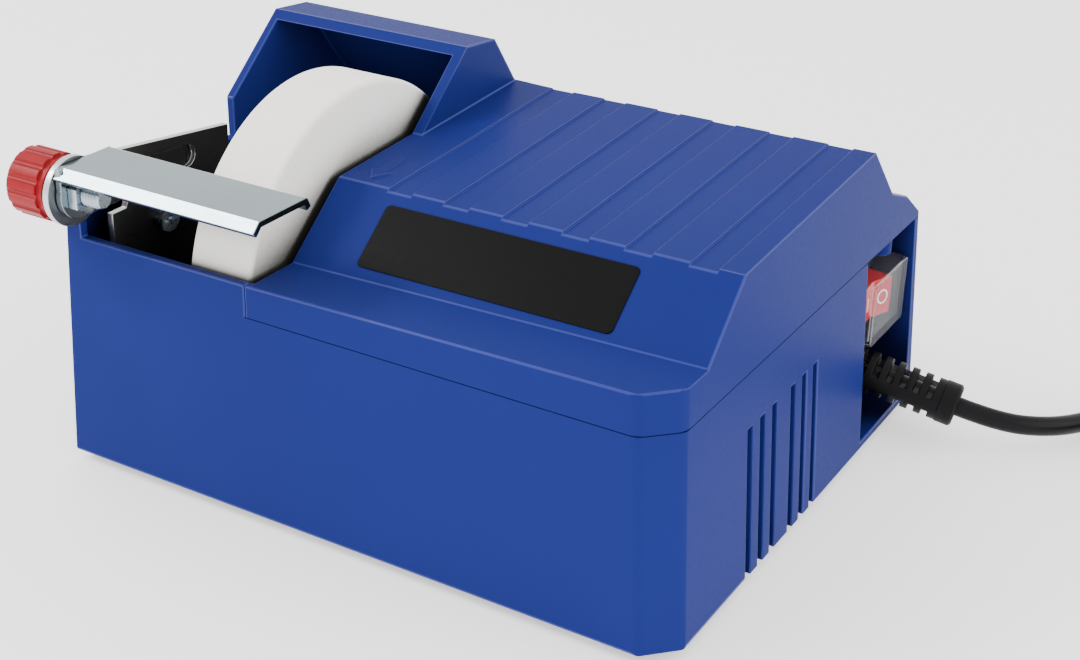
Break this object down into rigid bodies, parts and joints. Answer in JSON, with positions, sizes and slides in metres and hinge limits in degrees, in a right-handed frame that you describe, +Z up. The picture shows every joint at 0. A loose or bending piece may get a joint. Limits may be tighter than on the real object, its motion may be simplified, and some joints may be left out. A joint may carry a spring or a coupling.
{
  "type": "wet grinding sharpener",
  "caption": "Small bench-top wet sharpener: slow stone in a water trough with hood, slotted tool rest with clamp knob, geared motor housing, booted rocker switch and mains lead.",
  "frame": {"origin": "bottom centre of the object box without its cord, on the surface it stands on", "axes": "+X along the front to the right, +Y from the front to the back, +Z up"},
  "size_m": [0.3601, 0.231, 0.1083],
  "materials": {
    "blue_plastic": "satin moulded plastic, mid blue",
    "label": "bare dark plate",
    "black_plastic": "black moulded plastic",
    "red_plastic": "red moulded plastic",
    "clear_plastic": "clear flexible moulding",
    "abrasive": "fine white abrasive",
    "zinc_steel": "bright zinc plate",
    "dark_steel": "dark sheet steel with bright edges",
    "steel": "machined steel",
    "lamination": "stacked electrical sheet",
    "copper": "enamelled copper windings",
    "bronze": "sintered bronze",
    "nylon": "natural nylon",
    "rubber": "black rubber",
    "cord_pvc": "black PVC sheath"
  },
  "bodies": {
    "housing": {"base_housing": "blue_plastic", "top_cover": "blue_plastic", "label_plate": "label", "bottom_plate": "black_plastic", "base_screws": "steel", "cover_screws": "steel", "rubber_feet": "rubber", "shaft_seal": "rubber", "shaft_bushes": "bronze", "gearbox_plate_front": "steel", "gearbox_plate_rear": "steel", "gearbox_pillars": "steel", "gearbox_screws": "steel", "motor_stator": "lamination", "motor_windings": "copper", "motor_bearings": "bronze", "motor_end_shield": "steel", "motor_bolts": "steel", "motor_spacers": "steel", "terminal_block": "nylon", "inner_leads": "cord_pvc", "rest_bracket": "dark_steel", "bracket_screws": "zinc_steel", "switch_body": "black_plastic", "switch_boot": "clear_plastic", "strain_relief": "black_plastic", "cord_inner_end": "cord_pvc", "cord_lead": "cord_pvc", "cord_coil": "cord_pvc", "cord_tail": "cord_pvc", "coil_tie": "black_plastic", "plug_body": "cord_pvc", "plug_pins": "steel"},
    "spindle": {"grinding_stone": "abrasive", "stone_flange_inner": "nylon", "stone_flange_outer": "nylon", "stone_nut": "steel", "drive_shaft": "steel", "output_gear": "nylon"},
    "intermediate": {"intermediate_gear": "nylon", "intermediate_pinion": "steel", "intermediate_shaft": "steel"},
    "rotor": {"motor_rotor": "lamination", "motor_shaft": "steel", "motor_pinion": "steel", "cooling_fan": "black_plastic"},
    "carriage": {"rest_washer": "zinc_steel"},
    "rest": {"tool_rest": "zinc_steel", "rest_nut": "zinc_steel"},
    "knob": {"clamp_knob": "red_plastic", "clamp_stud": "zinc_steel"},
    "rocker": {"switch_rocker": "red_plastic"}
  },
  "joints": [
    {"name": "stone_spin", "type": "hinge", "parent": "housing", "child": "spindle", "pos_m": [-0.0402, -0.0203, 0.05779], "axis": [1, 0, 0], "continuous": true},
    {"name": "intermediate_spin", "type": "hinge", "parent": "housing", "child": "intermediate", "pos_m": [-0.0072, 0.008, 0.04647], "axis": [1, 0, 0], "continuous": true},
    {"name": "rotor_spin", "type": "hinge", "parent": "housing", "child": "rotor", "pos_m": [0.03379, 0.03299, 0.03931], "axis": [1, 0, 0], "continuous": true},
    {"name": "rest_slide", "type": "slide", "parent": "housing", "child": "carriage", "axis": [0, 0.9961, -0.0882], "range_m": [0, 0.0025]},
    {"name": "rest_tilt", "type": "hinge", "parent": "carriage", "child": "rest", "pos_m": [-0.0752, -0.07812, 0.086], "axis": [1, 0, 0], "range_deg": [-2, 45]},
    {"name": "knob_turn", "type": "hinge", "parent": "carriage", "child": "knob", "pos_m": [-0.08921, -0.07812, 0.086], "axis": [1, 0, 0], "range_deg": [0, 360]},
    {"name": "switch_rock", "type": "hinge", "parent": "housing", "child": "rocker", "pos_m": [0.0812, 0.06778, 0.0405], "axis": [0, 0, 1], "range_deg": [0, 20]}
  ],
  "couplings": [
    {"joint": "intermediate_spin", "follows": "stone_spin", "ratio": -3.3571},
    {"joint": "rotor_spin", "follows": "stone_spin", "ratio": 11.19}
  ]
}
